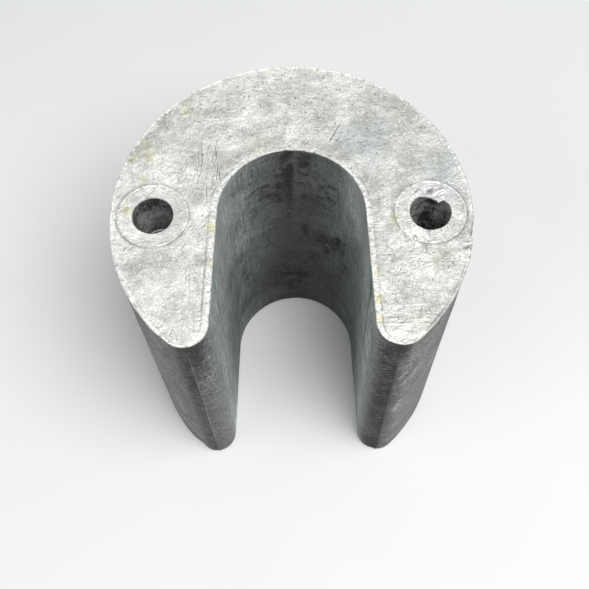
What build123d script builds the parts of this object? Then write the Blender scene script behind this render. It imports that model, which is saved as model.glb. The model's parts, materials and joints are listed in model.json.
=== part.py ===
from build123d import *

import math
import os

# Horseshoe anode: a heavy round casting with a slot through it from top to bottom,
# open at the front, and two steel sleeves cast into it that take its bolts.
#
# Millimetres, +Z up. The origin is on the axis of the round outside, in the plane of
# the bottom face. The mouth of the slot faces -Y, and the sleeves stand on the X axis.

os.makedirs("parts", exist_ok=True)

# Casting
outer_diameter = 80.0
height = 82.0
slot_width = 32.5  # across the round inner end of the slot, which is centred on the origin
slot_draft = 2.2  # degrees per side: the slot widens towards its mouth, so its core pulls out
tip_radius = 5.5  # end of each leg, where the slot wall turns into the round outside
bottom_edge_radius = 1.0  # as cast
top_edge_break = 0.3  # left by linishing the top face flat

# Sleeves
sleeve_spacing = 61.0  # centre to centre
sleeve_diameter = 16.0
bolt_hole_diameter = 9.0  # clears an M8 bolt
sleeve_edge_break = 0.4  # leaves the fine groove that rings each sleeve in the flat faces
bore_edge_break = 0.3

outer_radius = outer_diameter / 2
slot_radius = slot_width / 2
sleeve_radius = sleeve_diameter / 2
bolt_hole_radius = bolt_hole_diameter / 2
sleeve_x = sleeve_spacing / 2

# The slot is cut past the front of the round outside by this much.
mouth_overrun = 5.0
mouth_y = -outer_radius - mouth_overrun

# Each slot wall is a straight line tangent to the round inner end, leaning out by the
# draft. It leaves the round end at the tangent point and meets the mouth line further out.
draft = math.radians(slot_draft)
tangent_x = slot_radius * math.cos(draft)
tangent_y = slot_radius * math.sin(draft)
mouth_x = (slot_radius - mouth_y * math.sin(draft)) / math.cos(draft)

with BuildPart() as anode_body:
    with BuildSketch(Plane.XY) as section:
        Circle(outer_radius)
        with BuildLine() as slot_outline:
            Line((-mouth_x, mouth_y), (-tangent_x, tangent_y))
            ThreePointArc((-tangent_x, tangent_y), (0, slot_radius), (tangent_x, tangent_y))
            Line((tangent_x, tangent_y), (mouth_x, mouth_y))
            Line((mouth_x, mouth_y), (-mouth_x, mouth_y))
        make_face(mode=Mode.SUBTRACT)
        leg_tips = section.vertices().group_by(Axis.Y)[0]
        fillet(leg_tips, tip_radius)
    extrude(amount=height)

    bottom_outline = anode_body.faces().sort_by(Axis.Z)[0].edges()
    fillet(bottom_outline, bottom_edge_radius)
    top_outline = anode_body.faces().sort_by(Axis.Z)[-1].edges()
    chamfer(top_outline, top_edge_break)

    with BuildSketch(Plane.XY) as sleeve_seats:
        with Locations((-sleeve_x, 0), (sleeve_x, 0)):
            Circle(sleeve_radius)
    extrude(amount=height, mode=Mode.SUBTRACT)

anode_body.part.label = "anode_body"
export_step(anode_body.part, "parts/anode_body.step")

# The two sleeves are alike: plain steel tubes as long as the casting is high, flush with
# both of its flat faces, with their edges broken inside and out.
for name, x in (("left_sleeve", -sleeve_x), ("right_sleeve", sleeve_x)):
    with BuildPart() as sleeve:
        with BuildSketch(Plane.XY):
            with Locations((x, 0)):
                Circle(sleeve_radius)
                Circle(bolt_hole_radius, mode=Mode.SUBTRACT)
        extrude(amount=height)
        outside_rims = sleeve.edges().filter_by(GeomType.CIRCLE).sort_by(SortBy.RADIUS)[-2:]
        chamfer(outside_rims, sleeve_edge_break)
        bore_rims = sleeve.edges().filter_by(GeomType.CIRCLE).sort_by(SortBy.RADIUS)[:2]
        chamfer(bore_rims, bore_edge_break)
    sleeve.part.label = name
    export_step(sleeve.part, f"parts/{name}.step")
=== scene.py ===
import json
import math

import bpy
import numpy as np
from mathutils import Matrix, Vector
from mathutils.geometry import delaunay_2d_cdt


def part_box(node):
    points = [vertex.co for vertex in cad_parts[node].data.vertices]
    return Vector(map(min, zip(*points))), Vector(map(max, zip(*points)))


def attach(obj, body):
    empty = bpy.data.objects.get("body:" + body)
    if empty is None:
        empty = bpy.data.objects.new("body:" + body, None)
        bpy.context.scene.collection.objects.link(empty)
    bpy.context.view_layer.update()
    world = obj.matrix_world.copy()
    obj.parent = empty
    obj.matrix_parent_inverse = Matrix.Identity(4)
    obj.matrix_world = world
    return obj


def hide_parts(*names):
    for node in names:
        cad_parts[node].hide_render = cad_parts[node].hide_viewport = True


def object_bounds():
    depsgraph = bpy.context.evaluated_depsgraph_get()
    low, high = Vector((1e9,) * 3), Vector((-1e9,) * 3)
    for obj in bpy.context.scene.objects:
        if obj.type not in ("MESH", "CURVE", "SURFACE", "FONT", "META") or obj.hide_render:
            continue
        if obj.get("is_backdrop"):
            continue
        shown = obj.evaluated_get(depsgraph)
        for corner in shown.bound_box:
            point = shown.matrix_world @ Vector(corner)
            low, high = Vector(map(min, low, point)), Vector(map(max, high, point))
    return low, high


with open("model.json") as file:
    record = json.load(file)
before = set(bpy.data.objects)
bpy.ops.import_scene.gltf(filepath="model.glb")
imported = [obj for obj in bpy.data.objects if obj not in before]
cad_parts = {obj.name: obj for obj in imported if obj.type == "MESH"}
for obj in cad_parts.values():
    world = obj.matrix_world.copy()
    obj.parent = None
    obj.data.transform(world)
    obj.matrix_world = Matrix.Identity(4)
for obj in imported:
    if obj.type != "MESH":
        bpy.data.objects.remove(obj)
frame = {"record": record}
cad_low, cad_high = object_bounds()

# Looks of a horseshoe anode: a round zinc casting with a slot open to the front (-Y), and
# two steel sleeves cast into it. Meshes are worked out in millimetres and made in metres.

# ---------------------------------------------------------------- sizes, from the frame

MM = 0.001  # the length of a millimetre in metres
mounts = {mount["name"]: mount for mount in frame["record"]["mounts"]}
_, body_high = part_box("anode_body")
sleeve_low, sleeve_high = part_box("right_sleeve")

HEIGHT = body_high.z / MM
OUTER_R = body_high.x / MM
SLOT_R = mounts["shaft_slot"]["dims"]["r_mm"]
BORE_R = mounts["bolt_holes"]["dims"]["hole_r_mm"]
SLEEVE_X = mounts["bolt_holes"]["dims"]["spacing_x_mm"] / 2
SEAT_R = (sleeve_high.x - sleeve_low.x) / 2 / MM
SLOT_DRAFT = math.radians(2.2)  # each slot wall's lean towards the mouth
TIP_R = 5.5  # round end of each leg, seen from above
BOTTOM_ROUND = 1.0
TOP_ROUND = 0.22
SHARP_ANGLE = math.radians(38)  # edges sharper than this aren't shaded smooth
SEED = 11

rng = np.random.default_rng(SEED)


# ---------------------------------------------------------------- small maths

def smooth(low, high, x):
    """0 below low, 1 above high, and an S-curve between."""
    t = unit((x - low) / (high - low))
    return t * t * (3 - 2 * t)


def bump(x, centre, half_width):
    """1 at the centre, falling to 0 at half_width from it."""
    return 1 - smooth(0, half_width, np.abs(x - centre))


def unit(x):
    """x held between 0 and 1."""
    return np.clip(x, 0, 1)


def columns(*values):
    return np.column_stack(values)


def circle(count, turn=0.0):
    """Directions spaced evenly round a circle. turn is how far on they start, in steps."""
    angle = (np.arange(count) + turn) * math.tau / count
    return columns(np.cos(angle), np.sin(angle))


def nearest(xy, line):
    """For each point: the number of the nearest point of a line, and its distance."""
    squares = ((xy[:, None, :] - line[None]) ** 2).sum(2)
    best = squares.argmin(1)
    return best, np.sqrt(squares[np.arange(len(best)), best])


# large odd numbers that scramble a lattice corner's place and a seed into one code
CORNER_FACTORS = 73856093, 19349663, 83492791
SEED_FACTOR, STIR_FACTOR = 2654435761, 1274126177


def noise(points, cell, seed):
    """Smooth noise from -1 to 1 at points (n, 3), with one value per cell of that size."""
    scaled = points / np.asarray(cell, float)
    low = np.floor(scaled).astype(np.int64)
    part = scaled - low
    part = part * part * part * (part * (part * 6 - 15) + 10)
    total = np.zeros(len(points))
    for corner in np.ndindex(2, 2, 2):
        code = np.bitwise_xor.reduce((low + corner) * CORNER_FACTORS, axis=1) ^ seed * SEED_FACTOR
        code = (code ^ (code >> 13)) * STIR_FACTOR & 0xFFFFFFFF
        value = ((code ^ (code >> 16)) & 0xFFFF) / 0x7FFF - 1
        weight = np.prod(np.where(corner, part, 1 - part), axis=1)
        total += weight * value
    return total


def layered_noise(points, cell, seed, layers):
    """Several noises, each half as large and half as strong as the one before."""
    total, strength, whole = 0, 1.0, 0
    for layer in range(layers):
        total = total + strength * noise(points, np.asarray(cell, float) / 2**layer, seed + layer)
        whole += strength
        strength /= 2
    return total / whole


def flat_points(xy):
    return columns(xy, np.zeros(len(xy)))


def line_points(x):
    return columns(x, np.zeros_like(x), np.zeros_like(x))


# ---------------------------------------------------------------- the casting's outline

# The outline runs anticlockwise from the middle of the back: the round outside, the left
# leg's tip, the left slot wall, the slot's round end, and the same in mirror image.
wall_normal = np.array([math.cos(SLOT_DRAFT), math.sin(SLOT_DRAFT)])
wall_along = np.array([-wall_normal[1], wall_normal[0]])
tip_reach = math.sqrt((OUTER_R - TIP_R) ** 2 - (SLOT_R + TIP_R) ** 2)
tip_centre = wall_normal * (SLOT_R + TIP_R) - wall_along * tip_reach
tip_angle = math.atan2(tip_centre[1], tip_centre[0])

OUTER_LENGTH = OUTER_R * (math.pi / 2 - tip_angle)
TIP_LENGTH = TIP_R * (math.pi - SLOT_DRAFT + tip_angle)
WALL_LENGTH = tip_reach
END_LENGTH = SLOT_R * (math.pi - 2 * SLOT_DRAFT)
OUTLINE = 2 * (OUTER_LENGTH + TIP_LENGTH + WALL_LENGTH) + END_LENGTH

LEFT_TIP = OUTER_LENGTH + TIP_R * (math.pi / 2 + tip_angle)
RIGHT_TIP = OUTLINE - LEFT_TIP
SLOT_BACK = OUTLINE / 2
LEFT_LINE = LEFT_TIP + 0.8  # parting lines down the two tips
RIGHT_LINE = RIGHT_TIP - 0.4


def outline_at(s):
    """Points and outward normals at distances s along the outline."""
    half = np.where(s <= SLOT_BACK, s, OUTLINE - s)
    angle = math.pi / 2 + half / OUTER_R
    outer_normal = columns(np.cos(angle), np.sin(angle))
    outer = outer_normal * OUTER_R

    left_tip = np.array([-tip_centre[0], tip_centre[1]])
    angle = math.pi - tip_angle + (half - OUTER_LENGTH) / TIP_R
    tip_normal = columns(np.cos(angle), np.sin(angle))
    tip = left_tip + tip_normal * TIP_R

    left_normal = np.array([wall_normal[0], -wall_normal[1]])
    left_along = np.array([wall_normal[1], wall_normal[0]])
    foot = left_tip + left_normal * TIP_R
    wall = foot + (half - OUTER_LENGTH - TIP_LENGTH)[:, None] * left_along
    left_normal = np.broadcast_to(left_normal, wall.shape)

    angle = math.pi - SLOT_DRAFT - (half - OUTER_LENGTH - TIP_LENGTH - WALL_LENGTH) / SLOT_R
    end_normal = -columns(np.cos(angle), np.sin(angle))
    end = -end_normal * SLOT_R

    stretch = np.searchsorted(np.cumsum([OUTER_LENGTH, TIP_LENGTH, WALL_LENGTH]), half)[:, None]
    point = np.choose(stretch, [outer, tip, wall, end])
    normal = np.choose(stretch, [outer_normal, tip_normal, left_normal, end_normal])
    mirror = np.where(s <= SLOT_BACK, 1, -1)
    point[:, 0] *= mirror
    normal[:, 0] *= mirror
    return point, normal


outline_steps = np.arange(0, OUTLINE, 0.25)
outline_cloud, _ = outline_at(outline_steps)


def away_from(s, place):
    """Signed distance along the outline from place, the short way round."""
    return (s - place + OUTLINE / 2) % OUTLINE - OUTLINE / 2


def nearest_outline(xy):
    """For each point of a flat face: its distance from the outline and where along it that is."""
    distance, where = np.empty(len(xy)), np.empty(len(xy))
    few = 2000  # at a time, to save memory
    for start in range(0, len(xy), few):
        part = slice(start, start + few)
        best, distance[part] = nearest(xy[part], outline_cloud)
        where[part] = outline_steps[best]
    return distance, where


def inside_section(xy, margin):
    """True for points in the solid section, at least margin from its outline."""
    x, y = np.abs(xy[:, 0]), xy[:, 1]
    in_round = np.hypot(x, y) < OUTER_R - margin
    from_end = np.hypot(x, y) - SLOT_R
    from_wall = x * wall_normal[0] + y * wall_normal[1] - SLOT_R
    beside_end = y > math.tan(SLOT_DRAFT) * x
    clear_of_slot = np.where(beside_end, from_end, from_wall) > margin
    tip_to = columns(x, y) - tip_centre
    in_tip_corner = (tip_to @ wall_along < 0) & (np.cross(tip_centre, tip_to) < 0)
    clear_of_corner = ~in_tip_corner | (np.hypot(tip_to[:, 0], tip_to[:, 1]) < TIP_R - margin)
    return in_round & clear_of_slot & clear_of_corner


def from_sleeve(xy):
    """Distance from the nearer sleeve's axis, and the direction from that axis."""
    x = np.where(xy[:, 0] < 0, xy[:, 0] + SLEEVE_X, xy[:, 0] - SLEEVE_X)
    return np.hypot(x, xy[:, 1]), np.arctan2(xy[:, 1], x)


# ---------------------------------------------------------------- marks on the metal

MARK_STEP = 0.3  # from point to point along a scratch


class Scratch:
    """A groove with a raised lip along a slightly bowed line, in some surface's own plane.

    bright paints the groove bright, polish with a painted highlight, and 0 dark, dirt with painted
    shade; lip is the lip's painted highlight. A negative depth makes a ridge.
    """

    def __init__(self, start, end, width, depth, bow=0.0, bright=0.0, lip=0.5):
        start, end = np.array(start, float), np.array(end, float)
        along = end - start
        length = max(float(np.hypot(*along)), 1e-6)
        side = np.array([-along[1], along[0]]) / length
        count = max(2, int(length / MARK_STEP) + 1)
        t = np.linspace(0, 1, count)
        self.line = start + t[:, None] * along + (4 * t * (1 - t) * bow)[:, None] * side
        self.side, self.t = side, t
        self.width, self.depth, self.bright, self.lip = width, depth, bright, lip

    def points(self):
        """Mesh points that the groove's shape needs."""
        offsets = self.width * np.array([-1.0, -0.5, 0.0, 0.5, 1.0])
        return np.concatenate([self.line + offset * self.side for offset in offsets])

    def apply(self, xy, height, dirt, shine):
        low, high = self.line.min(0) - 2 * self.width, self.line.max(0) + 2 * self.width
        near = np.flatnonzero(np.all((xy > low) & (xy < high), axis=1))
        if not len(near):
            return
        best, reach = nearest(xy[near], self.line)
        across = np.abs((xy[near] - self.line[best]) @ self.side)
        off_end = reach > 1.2 * (self.width + MARK_STEP)
        fade = np.sin(math.pi * np.clip(self.t[best], 0.03, 0.97)) ** 0.5
        groove = np.where(off_end, 0, (1 - smooth(0, self.width * 0.55, across)) * fade)
        lip = np.where(off_end, 0, bump(across, self.width * 0.9, self.width * 0.5) * fade)
        height[near] += self.depth * (0.35 * lip - groove)
        dirt[near] = np.maximum(dirt[near], groove * (1 - self.bright))
        shine[near] = np.maximum(shine[near], np.maximum(groove * self.bright, lip * self.lip))


class Pit:
    """A round dimple with dirt and painted shade, or a low lump with a painted highlight if depth
    < 0.
    """

    def __init__(self, centre, radius, depth):
        self.centre, self.radius, self.depth = np.array(centre, float), radius, depth

    def points(self):
        ring = circle(7) * self.radius
        return np.concatenate([[self.centre], self.centre + ring, self.centre + 0.5 * ring[::2]])

    def apply(self, xy, height, dirt, shine):
        reach = np.hypot(*(xy - self.centre).T)
        near = reach < self.radius
        shape = 1 - smooth(0.1, 1, reach[near] / self.radius)
        height[near] -= self.depth * shape
        mask = dirt if self.depth > 0 else shine
        mask[near] = np.maximum(mask[near], shape)


def scattered(count, low, high, make, keep=None):
    """count marks, each made by make(place), at random places in a box where keep allows."""
    places = rng.uniform(low, high, (count * 3, 2))
    if keep:
        places = places[keep(places)]
    return [make(place) for place in places[:count]]


def random_scratch(angle_from, angle_to, length, width, depth, bright=0.0, lip=0.5):
    """A maker of scratches at angles in that range, in degrees, of about those sizes."""
    def make(place):
        angle = math.radians(rng.uniform(angle_from, angle_to))
        reach = rng.uniform(0.3, 1.0) * length / 2
        along = reach * np.array([math.cos(angle), math.sin(angle)])
        bow = rng.uniform(-0.12, 0.12) * reach
        return Scratch(place - along, place + along, width * rng.uniform(0.7, 1.2),
                       depth * rng.uniform(0.5, 1.2), bow, bright, lip)
    return make


def random_pit(radius, depth):
    """A maker of pits of up to that size."""
    def make(place):
        size = rng.uniform(0.5, 1.0)
        return Pit(place, radius * size, depth * size)
    return make


# ---------------------------------------------------------------- triangulated patches

def hex_lattice(low, high, spacing):
    """Points of a triangular lattice over a box, each moved a little at random."""
    x, y = np.meshgrid(np.arange(low[0] + spacing / 2, high[0], spacing),
                       np.arange(low[1] + spacing / 2, high[1], spacing * 0.866))
    x[1::2] += spacing / 2
    grid = columns(x.ravel(), y.ravel())
    grid += rng.uniform(-0.18, 0.18, grid.shape) * spacing
    margin = 0.3 * spacing
    keep = np.all((grid > np.array(low) + margin) & (grid < np.array(high) - margin), axis=1)
    return grid[keep]


def triangulate(points, loops=()):
    """Anticlockwise triangles over flat points: all, or those inside loops of point numbers."""
    edges = [pair for loop in loops for pair in zip(loop, loop[1:] + loop[:1])]
    vectors = [Vector(p) for p in points]
    kind = 1 if loops else 0  # 1 keeps what the loops enclose, 0 keeps everything
    _, _, faces, origin, _, _ = delaunay_2d_cdt(vectors, edges, [], kind, 1e-7)
    first = np.array([sources[0] if sources else -1 for sources in origin])
    triangles = first[np.array([face for face in faces if len(face) == 3])]
    triangles = triangles[(triangles >= 0).all(1)]
    a, b, c = (points[triangles[:, i]] for i in range(3))
    area = np.cross(b - a, c - a)
    solid = np.abs(area) > 1e-9
    triangles, area = triangles[solid], area[solid]
    triangles[area < 0] = triangles[area < 0][:, ::-1]
    return triangles


MASKS = ("ground", "rim", "dirt", "shine", "stain", "cool", "grime", "drag", "wash", "pebbled")


class Surface:
    """Vertices, faces and masks, gathered patch by patch and then made into one object."""

    def __init__(self):
        self.points, self.faces, self.masks, self.count = [], [], [], 0

    def add(self, points, **masks):
        """Adds vertices and returns their numbers. A mask left out is 0."""
        self.points.append(points)
        self.masks.append(columns(*[np.broadcast_to(masks.get(name, 0.0), len(points))
                                    for name in MASKS]))
        self.count += len(points)
        return np.arange(self.count - len(points), self.count)

    def join(self, triangles):
        self.faces.append(np.asarray(triangles))

    def strip(self, lower, upper):
        """Triangles between two closed rings of equal length."""
        next_lower, next_upper = np.roll(lower, -1), np.roll(upper, -1)
        self.join(columns(lower, next_lower, next_upper))
        self.join(columns(lower, next_upper, upper))

    def make(self, name, material):
        points = np.concatenate(self.points) * MM
        faces = np.concatenate(self.faces)
        masks = np.concatenate(self.masks)
        mesh = bpy.data.meshes.new(name)
        mesh.from_pydata(points.tolist(), [], faces.tolist())
        for column, mask in enumerate(MASKS):
            attribute = mesh.attributes.new(mask, "FLOAT", "POINT")
            attribute.data.foreach_set("value", masks[:, column].astype(np.float32))
        mesh.validate()
        mesh.shade_smooth()
        mesh.set_sharp_from_angle(angle=SHARP_ANGLE)
        mesh.materials.append(material)
        obj = bpy.data.objects.new(name, mesh)
        bpy.context.scene.collection.objects.link(obj)
        return obj


# ---------------------------------------------------------------- the linished top face

TOP_LEVEL = HEIGHT - 0.02  # the highest that ground metal reaches

# Marks placed one by one. A scratch has two ends, width, depth, bow, bright and lip; a pit has
# a centre, radius and depth.
top_marks = [
    Scratch((11.4, 23.8), (8.5, 18.3), 0.55, 0.13, 0.1, 0, 0.8),  # the long one behind the slot
    Scratch((5.9, 26.7), (6.6, 24.4), 0.16, 0.05),
    Scratch((-34.4, 11.1), (-31.8, 12.9), 0.24, 0.08, -0.2),
    Scratch((24, -14.3), (26.1, -18.1), 0.16, 0.05, 0, 1),
    Scratch((21.8, -12.6), (23.6, -15.2), 0.14, 0.04, 0, 1),
    Scratch((-17.7, 27.2), (-16, 24.6), 0.2, 0.07, 0.1),
    Scratch((-21.1, 32.8), (-21.5, 28.3), 0.3, -0.05, 0.2, 0.5),
    Scratch((-15.6, 26.9), (-12.2, 26.8), 0.3, 0.09, 0.1),
    Scratch((-15, 26.2), (-13, 26), 0.2, 0.06, 0),
    Scratch((-14.2, 14.5), (-10.8, 11.6), 0.22, 0.08, 0.4),
    Scratch((-23.4, -9), (-22.6, -18.5), 0.5, 0.03, 0.3, 0.65, 0.4),
    Scratch((-22.2, -9.8), (-21.6, -22.5), 0.3, 0.03, 0.1, 0.55, 0.5),
    Scratch((-29.5, -9.2), (-24.4, -8.4), 0.4, 0.03, 0.4, 0.65, 0.4),
    Scratch((-24.4, -8.4), (-23.4, -9.4), 0.4, 0.03, 0.2, 0.65, 0.4),
    Scratch((36.8, -9.1), (39, -8.7), 0.9, 0.6, 0, 0, 0.8),
    Scratch((24.3, 28.8), (33.7, 15.7), 0.24, 0.04, -1.2, 0.4, 0.5),
    Scratch((18.5, -25.1), (22.6, -25.2), 0.35, -0.05, 0, 0.3, 1),
    Scratch((19, -26.2), (25.5, -26.6), 0.4, -0.06, 0, 0.3, 1),
    Scratch((20.9, -23.8), (23.6, -23.2), 0.3, -0.05, 0, 0.3, 1),
    Scratch((34.9, 7.2), (39.2, 3.2), 0.3, 0.05, 0.5, 0.5, 1),
    Pit((30.7, 5.3), 1.15, 0.35),
    Pit((30.7, 5.3), 0.55, -0.18),
    Pit((32.6, 4.9), 0.9, -0.22),
    Pit((33.4, 3.7), 0.7, -0.18),
    Pit((31.9, 6.2), 0.6, -0.14),
    Pit((33.6, 5.6), 0.5, -0.14),
    Scratch((26.9, 4.3), (28.2, 6), 0.3, 0.14, 0, 0, 0.8),
    Scratch((28.2, 6), (29.4, 4.7), 0.3, 0.14, 0, 0, 0.8),
    Scratch((27.2, 4.2), (29.3, 4.4), 0.24, -0.08, 0.2, 1, 0.8),
    Scratch((31.9, 3.6), (34.2, 5.4), 0.26, 0.12, 0.3, 0, 0.9),
    Scratch((31.4, 7), (33.4, 6.6), 0.22, 0.08, 0.2, 0.2, 0.9),
]
# short teeth torn round the front of the right bore
for degrees in range(-158, -14, 8):
    turn = math.radians(degrees + rng.uniform(-3, 3))
    outward = np.array([math.cos(turn), math.sin(turn)])
    reach = BORE_R + 0.15, BORE_R + rng.uniform(0.7, 1.5)
    slant = rng.uniform(-0.4, 0.4) * np.array([-outward[1], outward[0]])
    near, far = [np.array([SLEEVE_X, 0]) + outward * r for r in reach]
    top_marks.append(Scratch(near, far + slant, 0.26, 0.10, 0.0, rng.uniform(0, 0.8), 0.9))


def on_top(places):
    reach, _ = from_sleeve(places)
    return inside_section(places, 0.7) & (reach > BORE_R + 0.5)


# A bundle of near-vertical scratches left of the slot's end, level ones on the right leg's
# tip, and short ones, flecks and pits all over. Each row is how many, the box's two corners
# and their kind.
FACE_LOW, FACE_HIGH = (-OUTER_R, -32), (OUTER_R, OUTER_R)
for count, low, high, make in (
        (16, (-22, 5), (-15.5, 19), random_scratch(74, 100, 4.5, 0.26, 0.07)),
        (10, (-20.5, 4), (-16.5, 17), random_scratch(84, 96, 4, 0.25, 0.09)),
        (34, (17, -30), (31, -22), random_scratch(-6, 8, 9, 0.2, 0.06, 0.8)),
        (24, (17, -22), (31, -8), random_scratch(-60, 60, 4, 0.18, 0.05, 0.8)),
        (70, (16, -24), (36, -6), random_scratch(0, 180, 2.2, 0.18, 0.08)),
        (180, FACE_LOW, FACE_HIGH, random_scratch(0, 180, 2.4, 0.23, 0.07)),
        (60, (-26, 17), (26, 38), random_scratch(-40, 20, 2.2, 0.24, 0.08)),
        (120, FACE_LOW, FACE_HIGH, random_scratch(0, 180, 1.6, 0.2, -0.05, 0.9)),
        (200, FACE_LOW, FACE_HIGH, random_pit(0.32, 0.12)),
        (80, (-30, 14), (34, 40), random_pit(0.45, 0.14)),
        (200, FACE_LOW, FACE_HIGH, random_pit(0.45, -0.05))):
    top_marks += scattered(count, low, high, make, on_top)


# Notches knocked into the top edge of the round outside: distance along the outline from
# the back (negative to the right), half width, cut into the top face, cut down the side.
NOTCHES = [(-8.6, 0.9, 0.6, 1.1), (-18.9, 0.8, 0.75, 1.3), (-66.4, 1.2, 1, 2),
           (-68.1, 1.7, 1.9, 3.2), (-69.9, 0.7, 0.7, 1.4), (-72.3, 1, 0.8, 1.2),
           (34, 0.9, 0.25, 0.5), (52, 0.7, 0.22, 0.4), (-34, 0.6, 0.2, 0.4),
           (-90, 0.8, 0.25, 0.5), (88, 1, 0.25, 0.5), (101, 0.7, 0.2, 0.4)]
# and small nicks in the slot's top edge: distance from the middle of its end, half width
NOTCHES += [(SLOT_BACK + away, size, 0.45 * size, 1.1 * size) for away, size in (
    (-24, 0.6), (-18.5, 0.45), (-13, 0.6), (-6.5, 0.4), (3, 0.45), (5.2, 0.6),
    (11.5, 0.5), (16, 0.7), (21.5, 0.5), (27, 0.6), (-31, 0.5))]


def notch_depth(s):
    """How deep a notch cuts into the top edge at s: into the face, and down the side."""
    into, down = np.zeros(len(s)), np.zeros(len(s))
    for place, half_width, face_cut, side_cut in NOTCHES:
        share = unit(1 - np.abs(away_from(s, place)) / half_width) ** 0.7
        into, down = np.maximum(into, share * face_cut), np.maximum(down, share * side_cut)
    ripple, sway = noise(line_points(s), 1.3, 5), noise(line_points(s), 4.5, 6)
    ragged = 0.03 + 0.16 * unit(ripple) ** 1.5 + 0.1 * unit(sway)
    return np.maximum(into, ragged), np.maximum(down, ragged)


RIM_LINE = 1.02  # where the band's inner line lies, as a share of its width


def torn_rim(s):
    """1 where the rim's band is torn up, along the right leg's slot edge."""
    return bump(s, RIGHT_TIP + 15, 14)


def rim_band(s):
    """Width of the edge band that linishing has rolled off, and how strong its inner line is."""
    x = noise(line_points(s), 9.0, 21)
    along = np.where(s <= SLOT_BACK, s, OUTLINE - s)
    slot_side = smooth(OUTER_LENGTH + 4, OUTER_LENGTH + 11, along)
    end_start = OUTER_LENGTH + TIP_LENGTH + WALL_LENGTH
    round_end = smooth(end_start + 6, end_start + 16, along)
    slot_width = np.where(s <= SLOT_BACK, 1.85, 1.5) * (1 - round_end) + 0.45 * round_end
    torn_edge = torn_rim(s)
    outer_width = 0.75 + 0.25 * x * (1 - torn_edge) + 0.7 * bump(s, 75, 45)
    width = outer_width * (1 - slot_side) + slot_width * slot_side
    line = slot_side * (1 - 0.85 * round_end) + 1.5 * smooth(0, 0.5, torn_edge)
    line = np.maximum.reduce([line, 0.75 * bump(s, LEFT_TIP - 9, 16), 0.6 * bump(s, RIGHT_TIP, 9)])
    return width, line * (0.75 + 0.35 * x)


def top_face_relief(xy):
    """Height above TOP_LEVEL and masks of the linished face, at any point of it."""
    p = flat_points(xy)
    inset, s = nearest_outline(xy)
    reach, turn = from_sleeve(xy)
    height = -0.12 + 0.03 * noise(p, 9, 31) + 0.035 * noise(p, 2.6, 32) + 0.03 * noise(p, 1.0, 33)
    dent = unit(noise(p, 3.1, 35) - 0.35)
    height -= 0.2 * dent

    width, line = rim_band(s)
    ragged = 1 + 0.10 * noise(p, 0.8, 36)
    rolled = 1 - smooth(0, 1, inset / (width * ragged))
    height -= 0.13 * rolled * (0.8 + 0.3 * noise(p, 1.1, 37))
    torn_edge = torn_rim(s)
    groove = line * bump(inset, width * RIM_LINE, 0.26 + 0.16 * torn_edge)
    torn_up = torn_edge * smooth(0.8, 1.6, inset) * bump(inset, 1.6, 1.6)
    height -= 0.12 * unit(groove) + 0.12 * torn_up

    dirt = unit(0.9 * groove * unit(0.8 + 0.5 * noise(p, 1.6, 44)))
    shine = np.zeros(len(xy))
    # the marks paint their grooves dark, dirt with painted shade, and their lips bright, painted
    # highlights
    for mark in top_marks:
        mark.apply(xy, height, dirt, shine)

    # a dull band round the slot's end
    end_band = bump(inset, 2.6, 2.2) * smooth(28, 20, np.abs(away_from(s, SLOT_BACK + 4)))

    # the torn flash over the back of the right bore stands in a shallow hollow
    torn = unit(1 - np.hypot((xy[:, 0] - 31.8) / 4.6, (xy[:, 1] - 5.4) / 2.6))
    height -= 0.28 * smooth(0, 0.5, torn) * (0.6 + 0.5 * noise(p, 0.9, 38))
    shine = np.maximum(shine, 0.5 * smooth(0.1, 0.6, torn))

    # notches: bright where shallow, and where deep given the dark as-cast tone, a painted shade in
    # the hollow
    into, down = notch_depth(s)
    cut = down * unit(1 - inset / into)
    height -= cut
    shine = np.maximum(shine, 0.9 * smooth(0.0, 0.1, cut) * (1 - smooth(0.25, 0.45, cut)))
    notch_shade = smooth(0.3, 0.7, cut)

    # each sleeve's end: a broken ridge just inside its edge, with a painted highlight brighter on
    # its far side, and the faint groove round it, with painted shade in it
    broken = np.clip(0.65 + 0.7 * noise(p, 2.6, 39), 0.15, 1)
    behind = smooth(-0.3, 0.5, np.sin(turn))
    place = SEAT_R - 0.35 + 0.1 * noise(p, 1.7, 45)
    ridge = bump(reach, place, 0.42) * unit(0.4 + 0.5 * behind + 0.9 * noise(p, 0.9, 46))
    height += 0.12 * ridge
    shine = np.maximum(shine, ridge)
    dirt = np.maximum(dirt, (0.85 - 0.2 * behind) * bump(reach, SEAT_R + 0.1, 0.42) * broken)
    dirt = np.maximum(dirt, 0.3 * bump(reach, place - 0.4, 0.3) * broken * behind)
    front = smooth(0, -5, xy[:, 1]) * smooth(0, 1, xy[:, 0]) * (reach < SEAT_R + 1.5)
    height += 0.05 * front * noise(p, 0.9, 42)
    dirt = np.maximum(dirt, 0.5 * front * unit(2.4 * noise(p, (0.6, 1.2, 1), 43) - 1.0))

    right_left = smooth(0, 1, xy[:, 0]) * smooth(0.3, -0.7, np.cos(turn))
    ring_dull = right_left * bump(reach, SEAT_R + 0.6, 1.1) * unit(0.8 + 0.6 * noise(p, 1.5, 47))
    masks = {
        "ground": 1 - 0.85 * notch_shade,
        # the rim band's near-white tone is a polished edge with a painted highlight on it
        "rim": unit((1 - smooth(0.55, 1.05, inset / width)) * (0.75 + 0.7 * noise(p, 0.9, 40))),
        "dirt": unit(dirt + 0.2 * dent),
        "shine": unit(shine),
        "stain": patch_mask(xy, STAINS, 51),
        "cool": cool_mask(xy),
        "drag": smooth(-21, -25, xy[:, 1]) * smooth(10, 16, xy[:, 0]),
        "wash": np.maximum.reduce([patch_mask(xy, DULL, 53), 0.7 * end_band, 0.6 * ring_dull]),
    }
    return np.minimum(height, 0), masks


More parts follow.
